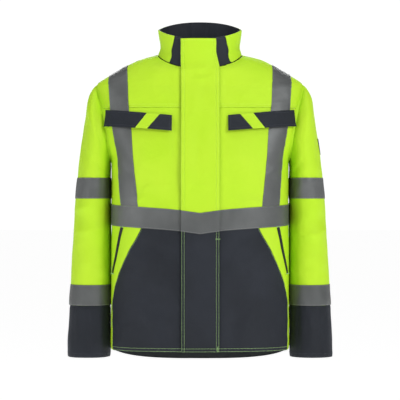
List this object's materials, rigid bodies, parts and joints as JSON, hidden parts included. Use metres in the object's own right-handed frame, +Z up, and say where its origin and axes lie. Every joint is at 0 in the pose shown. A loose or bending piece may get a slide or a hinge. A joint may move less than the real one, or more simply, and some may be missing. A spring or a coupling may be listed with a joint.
{
  "type": "hi-vis work jacket, filled out as worn",
  "caption": "Padded hi-vis work jacket with stand collar, storm flap over a zip, reflective tapes, chest flaps, side pockets and long sleeves, filled out as worn.",
  "frame": {"origin": "in the middle of the neck opening at the height of the neck seam at its sides, where the wearer holds the jacket up", "axes": "+X to the wearer's left, +Y to the back, +Z up; the front faces -Y"},
  "size_m": [0.647, 0.2682, 0.8405],
  "materials": {
    "hi_vis_yellow": "matte fluorescent woven cloth",
    "navy_cloth": "matte twill",
    "reflective_tape": "grey glass-bead retroreflective, satin",
    "zip_tape": "dark woven tape with moulded teeth",
    "zip_metal": "painted cast slider"
  },
  "bodies": {
    "root": {"front_chest_left": "hi_vis_yellow", "front_chest_right": "hi_vis_yellow", "front_yoke_left": "hi_vis_yellow", "front_yoke_right": "hi_vis_yellow", "side_left": "hi_vis_yellow", "side_right": "hi_vis_yellow", "back_upper": "hi_vis_yellow", "back_yoke": "hi_vis_yellow", "collar_outer": "hi_vis_yellow", "storm_flap_upper": "hi_vis_yellow", "sleeve_left": "hi_vis_yellow", "sleeve_right": "hi_vis_yellow", "chest_flap_left_stripe": "hi_vis_yellow", "chest_flap_right_stripe": "hi_vis_yellow", "front_lower_left": "navy_cloth", "front_lower_right": "navy_cloth", "back_lower": "navy_cloth", "collar_insert_left": "navy_cloth", "collar_insert_right": "navy_cloth", "collar_inner": "navy_cloth", "storm_flap_lower": "navy_cloth", "cuff_left": "navy_cloth", "cuff_right": "navy_cloth", "chest_flap_left_outer": "navy_cloth", "chest_flap_left_inner": "navy_cloth", "chest_flap_right_outer": "navy_cloth", "chest_flap_right_inner": "navy_cloth", "sleeve_patch": "navy_cloth", "waist_tape_front_left": "reflective_tape", "waist_tape_front_right": "reflective_tape", "waist_tape_back": "reflective_tape", "waist_tape_flap": "reflective_tape", "shoulder_tape_left": "reflective_tape", "shoulder_tape_right": "reflective_tape", "sleeve_tape_upper_left": "reflective_tape", "sleeve_tape_upper_right": "reflective_tape", "sleeve_tape_lower_left": "reflective_tape", "sleeve_tape_lower_right": "reflective_tape", "front_zip": "zip_tape", "pocket_zip_left": "zip_tape", "pocket_zip_right": "zip_tape", "front_zip_slider": "zip_metal"}
  },
  "joints": []
}
